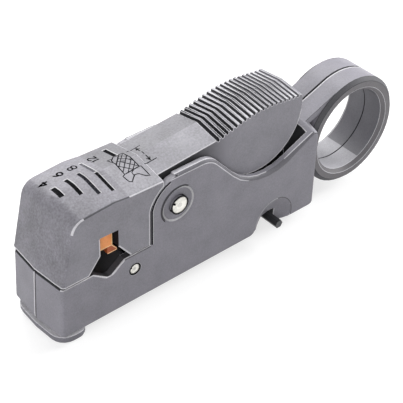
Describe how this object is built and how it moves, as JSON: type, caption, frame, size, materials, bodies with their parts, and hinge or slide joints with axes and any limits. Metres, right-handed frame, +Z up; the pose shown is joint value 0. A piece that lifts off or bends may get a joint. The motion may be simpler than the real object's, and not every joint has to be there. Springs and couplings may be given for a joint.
{
  "type": "coaxial cable stripper",
  "caption": "Rotary coaxial cable stripper: fixed jaw with a V rest, sprung upper jaw lever with a blade insert and ribbed thumb pad, and a finger ring at the rear.",
  "frame": {"origin": "centre of the flat floor of the cable rest's V, on the centre plane between the two shells, where the cable lies", "axes": "+X from the jaw to the finger ring, +Y from the side with the key to the far side, along the cable, +Z up"},
  "size_m": [0.1039, 0.0209, 0.0374],
  "materials": {
    "blade_cassette": "satin orange moulding",
    "blade_far": "ground steel",
    "blade_near": "ground steel",
    "block_pin": "bright steel",
    "body_shell_far": "matte grey moulding",
    "body_shell_near": "matte grey moulding",
    "hex_key": "black oxide",
    "lever": "matte grey moulding",
    "pivot_pin": "bright steel",
    "set_screw_far": "black oxide",
    "set_screw_near": "black oxide",
    "spring": "drawn wire",
    "v_block": "matte dark grey moulding"
  },
  "bodies": {
    "body": {"body_shell_near": "body_shell_near", "body_shell_far": "body_shell_far", "pivot_pin": "pivot_pin", "block_pin": "block_pin", "spring": "spring"},
    "lever": {"lever": "lever", "blade_cassette": "blade_cassette"},
    "rest": {"v_block": "v_block"},
    "key": {"hex_key": "hex_key"},
    "screw_near": {"set_screw_near": "set_screw_near"},
    "blade_near": {"blade_near": "blade_near"},
    "screw_far": {"set_screw_far": "set_screw_far"},
    "blade_far": {"blade_far": "blade_far"}
  },
  "joints": [
    {"name": "lever_pivot", "type": "hinge", "parent": "body", "child": "lever", "pos_m": [0.019, 0, 0.0114], "axis": [0, 1, 0], "range_deg": [0, 14], "stiffness_Nm_per_rad": 0.15, "springref_deg": -20.05, "deforming": ["spring"]},
    {"name": "rest_slide", "type": "slide", "parent": "body", "child": "rest", "axis": [0, 0, -1], "range_m": [0, 0.018]},
    {"name": "key_release", "type": "slide", "parent": "body", "child": "key", "axis": [0, 0, -1], "range_m": [0, 0.008]},
    {"name": "screw_turn_near", "type": "hinge", "parent": "lever", "child": "screw_near", "pos_m": [0, -0.0042, 0.0126], "axis": [0, 0, -1], "range_deg": [-180, 180]},
    {"name": "blade_depth_near", "type": "slide", "parent": "lever", "child": "blade_near", "axis": [0, 0, -1], "range_m": [-0.00025, 0.00025]},
    {"name": "screw_turn_far", "type": "hinge", "parent": "lever", "child": "screw_far", "pos_m": [0, 0.0042, 0.0126], "axis": [0, 0, -1], "range_deg": [-180, 180]},
    {"name": "blade_depth_far", "type": "slide", "parent": "lever", "child": "blade_far", "axis": [0, 0, -1], "range_m": [-0.00025, 0.00025]}
  ],
  "couplings": [
    {"joint": "screw_turn_near", "follows": "blade_depth_near", "rad_per_m": 12566},
    {"joint": "screw_turn_far", "follows": "blade_depth_far", "rad_per_m": 12566}
  ]
}
